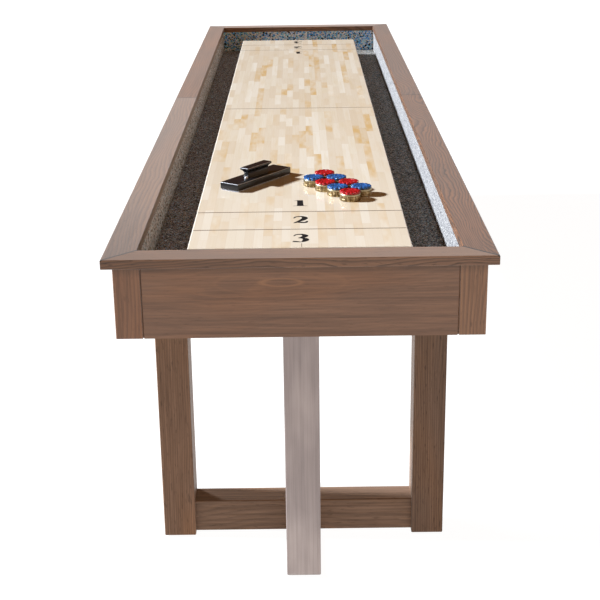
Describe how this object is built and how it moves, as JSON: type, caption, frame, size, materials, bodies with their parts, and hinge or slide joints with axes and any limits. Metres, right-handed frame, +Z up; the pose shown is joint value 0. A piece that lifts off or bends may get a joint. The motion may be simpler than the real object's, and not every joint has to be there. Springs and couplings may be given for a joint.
{
  "type": "shuffleboard table",
  "caption": "Long table shuffleboard cabinet with a laminated maple playfield, carpeted gutters, mitred cap rails and wood-and-metal pedestals, with weighted pucks and a table brush.",
  "frame": {"origin": "on the floor, under the middle of the table", "axes": "+Y along the table to its far end, +X across it to the right seen from the near end, +Z up"},
  "size_m": [0.836, 3.658, 0.8078],
  "materials": {
    "cabinet_wood": "satin grey-brown stain",
    "cradle_wood": "bare",
    "maple": "clear gloss coat",
    "carpet": "short cut pile, flecked",
    "pewter_steel": "brushed pewter",
    "zinc_steel": "zinc plated",
    "black_plastic": "gloss",
    "bristle": "soft bristle",
    "bright_chrome": "polished",
    "puck_brass": "turned, polished",
    "puck_red": "gloss",
    "puck_blue": "gloss"
  },
  "bodies": {
    "table": {"cap_rail_near": "cabinet_wood", "cap_rail_far": "cabinet_wood", "cap_rail_left_near": "cabinet_wood", "cap_rail_left_far": "cabinet_wood", "cap_rail_right_near": "cabinet_wood", "cap_rail_right_far": "cabinet_wood", "apron_near": "cabinet_wood", "apron_far": "cabinet_wood", "apron_left": "cabinet_wood", "apron_right": "cabinet_wood", "corner_post_near_left": "cabinet_wood", "corner_post_near_right": "cabinet_wood", "corner_post_far_left": "cabinet_wood", "corner_post_far_right": "cabinet_wood", "cross_members": "cradle_wood", "gutter_boards": "cradle_wood", "side_carpets": "carpet", "end_carpets": "carpet", "playfield": "maple", "playfield_shims": "cradle_wood", "leg_near_left": "cabinet_wood", "leg_near_right": "cabinet_wood", "leg_far_left": "cabinet_wood", "leg_far_right": "cabinet_wood", "stretcher_near": "cabinet_wood", "stretcher_far": "cabinet_wood", "top_rails": "cabinet_wood", "metal_leg_near": "pewter_steel", "metal_leg_far": "pewter_steel", "frame_bolts": "zinc_steel", "adjuster_brackets": "zinc_steel", "bracket_screws": "zinc_steel", "adjuster_rods": "zinc_steel"},
    "brush": {"brush_block": "black_plastic", "brush_bristles": "bristle", "brush_handle": "black_plastic", "brush_screw": "bright_chrome"},
    "puck_1": {"puck_weight_1": "puck_brass", "puck_cap_1": "puck_blue"},
    "puck_2": {"puck_weight_2": "puck_brass", "puck_cap_2": "puck_red"},
    "puck_3": {"puck_weight_3": "puck_brass", "puck_cap_3": "puck_blue"},
    "puck_4": {"puck_weight_4": "puck_brass", "puck_cap_4": "puck_red"},
    "puck_5": {"puck_weight_5": "puck_brass", "puck_cap_5": "puck_red"},
    "puck_6": {"puck_weight_6": "puck_brass", "puck_cap_6": "puck_blue"},
    "puck_7": {"puck_weight_7": "puck_brass", "puck_cap_7": "puck_red"},
    "puck_8": {"puck_weight_8": "puck_brass", "puck_cap_8": "puck_blue"},
    "leveler_near_left": {"leveler_near_left": "zinc_steel"},
    "leveler_near_right": {"leveler_near_right": "zinc_steel"},
    "leveler_far_left": {"leveler_far_left": "zinc_steel"},
    "leveler_far_right": {"leveler_far_right": "zinc_steel"},
    "adjuster_near": {"adjuster_sleeve_near": "zinc_steel"},
    "adjuster_middle": {"adjuster_sleeve_middle": "zinc_steel"},
    "adjuster_far": {"adjuster_sleeve_far": "zinc_steel"}
  },
  "joints": [
    {"name": "brush_sweep", "type": "slide", "parent": "table", "child": "brush", "axis": [0, 1, 0], "range_m": [-0.45, 2.45]},
    {"name": "puck_1_slide", "type": "slide", "parent": "table", "child": "puck_1", "axis": [-0.7071, -0.7071, 0], "range_m": [0, 0.371]},
    {"name": "puck_2_slide", "type": "slide", "parent": "table", "child": "puck_2", "axis": [-0.7071, -0.7071, 0], "range_m": [0, 0.414]},
    {"name": "puck_3_slide", "type": "slide", "parent": "table", "child": "puck_3", "axis": [-0.7071, -0.7071, 0], "range_m": [0, 0.457]},
    {"name": "puck_4_slide", "type": "slide", "parent": "table", "child": "puck_4", "axis": [0, -1, 0], "range_m": [0, 0.379]},
    {"name": "puck_5_slide", "type": "slide", "parent": "table", "child": "puck_5", "axis": [0, 1, 0], "range_m": [0, 2.601]},
    {"name": "puck_6_slide", "type": "slide", "parent": "table", "child": "puck_6", "axis": [0.7071, 0.7071, 0], "range_m": [0, 0.179]},
    {"name": "puck_7_slide", "type": "slide", "parent": "table", "child": "puck_7", "axis": [0.7071, 0.7071, 0], "range_m": [0, 0.136]},
    {"name": "puck_8_slide", "type": "slide", "parent": "table", "child": "puck_8", "axis": [0.7071, 0.7071, 0], "range_m": [0, 0.093]},
    {"name": "leveler_near_left_screw", "type": "slide", "parent": "table", "child": "leveler_near_left", "axis": [0, 0, 1], "range_m": [-0.012, 0]},
    {"name": "leveler_near_right_screw", "type": "slide", "parent": "table", "child": "leveler_near_right", "axis": [0, 0, 1], "range_m": [-0.012, 0]},
    {"name": "leveler_far_left_screw", "type": "slide", "parent": "table", "child": "leveler_far_left", "axis": [0, 0, 1], "range_m": [-0.012, 0]},
    {"name": "leveler_far_right_screw", "type": "slide", "parent": "table", "child": "leveler_far_right", "axis": [0, 0, 1], "range_m": [-0.012, 0]},
    {"name": "adjuster_near_turn", "type": "hinge", "parent": "table", "child": "adjuster_near", "pos_m": [0, -1.0616, 0.653], "axis": [1, 0, 0], "continuous": true},
    {"name": "adjuster_middle_turn", "type": "hinge", "parent": "table", "child": "adjuster_middle", "pos_m": [0, 0, 0.653], "axis": [1, 0, 0], "continuous": true},
    {"name": "adjuster_far_turn", "type": "hinge", "parent": "table", "child": "adjuster_far", "pos_m": [0, 1.0616, 0.653], "axis": [1, 0, 0], "continuous": true}
  ]
}
